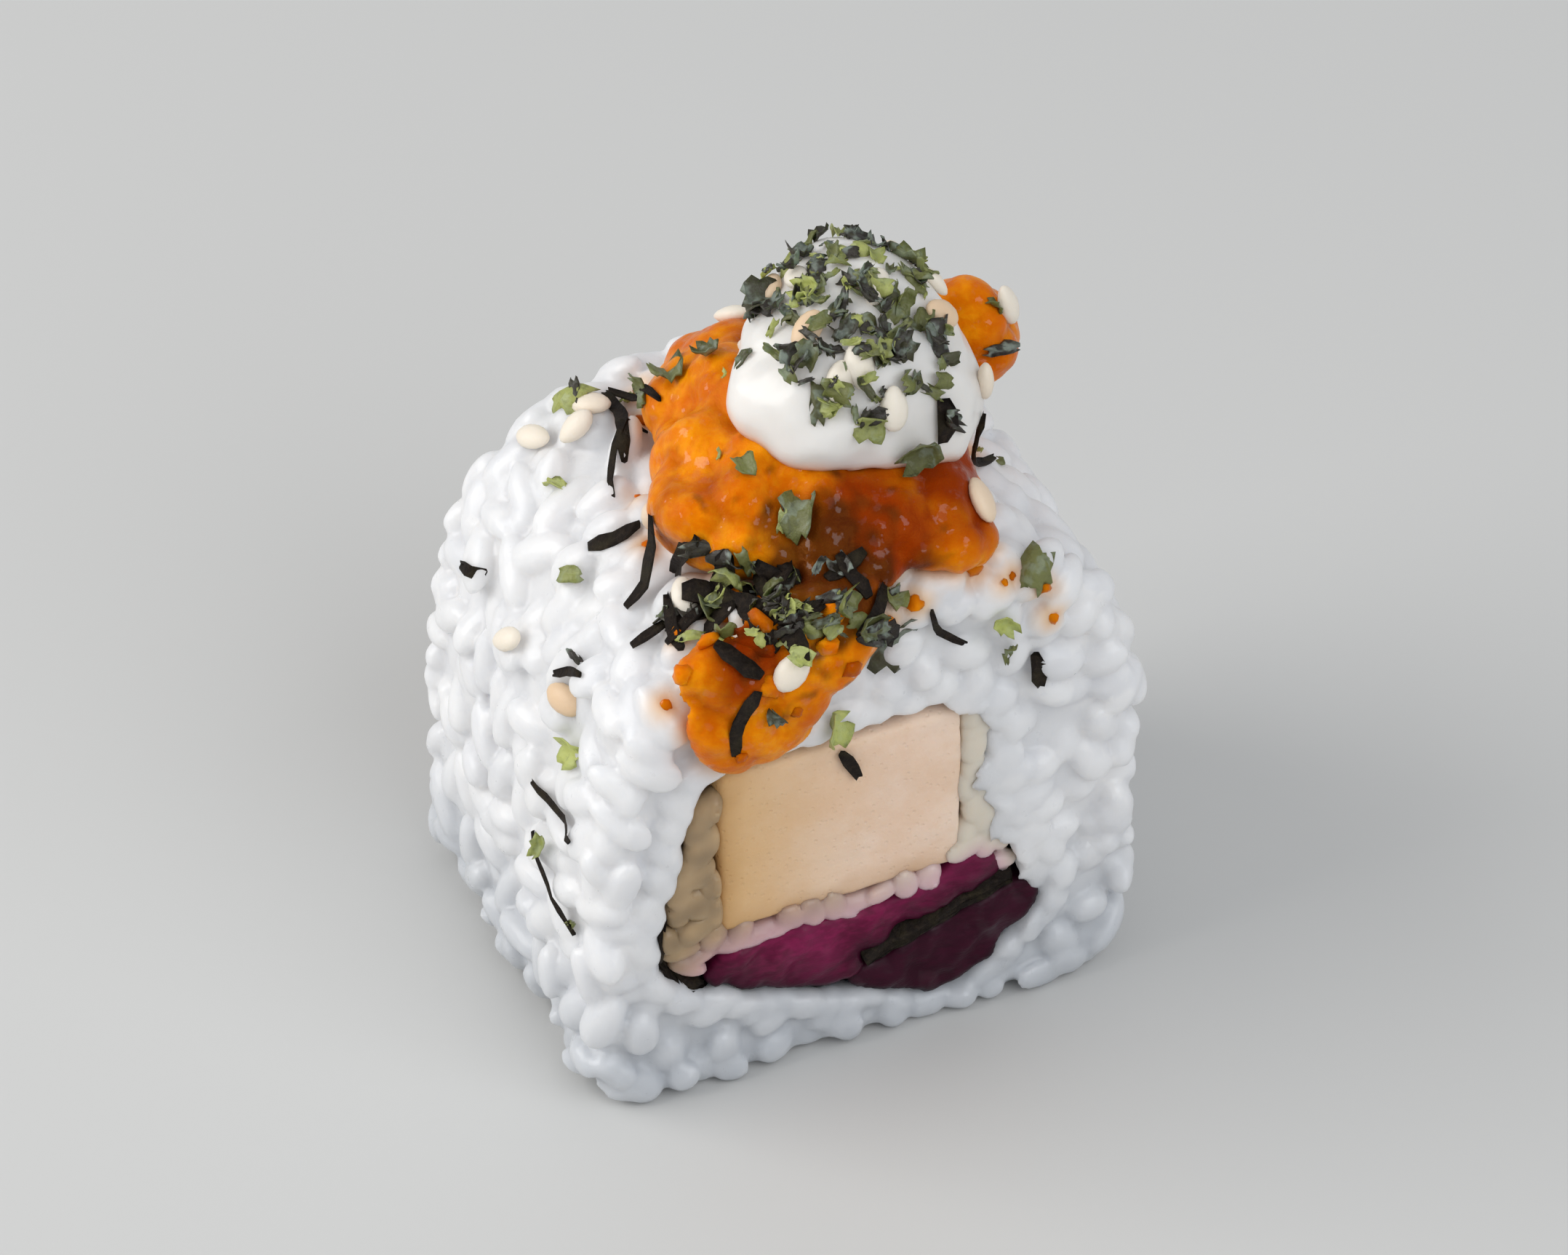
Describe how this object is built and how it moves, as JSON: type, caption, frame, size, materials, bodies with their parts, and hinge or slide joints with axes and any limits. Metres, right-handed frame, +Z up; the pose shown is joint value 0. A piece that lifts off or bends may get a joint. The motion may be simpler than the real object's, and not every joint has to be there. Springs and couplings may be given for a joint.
{
  "type": "vegetable roll",
  "caption": "One upright piece of inside-out roll: rice coat, nori, tofu and purple pickle in the cut face, topped with orange mash, cream, seeds and herbs.",
  "frame": {"origin": "middle of the flat base that the piece stands on", "axes": "+Z up, Y along the roll's axis with the cut face shown in the picture looking along -Y, +X to the right as seen from in front of that face"},
  "size_m": [0.038, 0.0306, 0.0485],
  "materials": {
    "white_rice": "cooked short-grain rice, moist and slightly translucent",
    "stained_rice": "cooked rice stained pale pink and beige by the filling",
    "nori": "dark green-black seaweed sheet, rough with a faint sheen",
    "tofu": "smooth pale tan, finely pored",
    "purple_pickle": "wet purple vegetable with fine fibres, darker at its edges",
    "orange_mash": "glossy orange squash mash, amber in its hollows",
    "cream": "smooth glossy warm white"
  },
  "bodies": {
    "root": {"rice_coat": "white_rice", "nori_wrap": "nori", "tofu_block": "tofu", "inner_rice": "stained_rice", "inner_rice_strip": "stained_rice", "pickle_upper": "purple_pickle", "pickle_lower": "purple_pickle", "mash_heap": "orange_mash", "cream_dollop": "cream"}
  },
  "joints": []
}
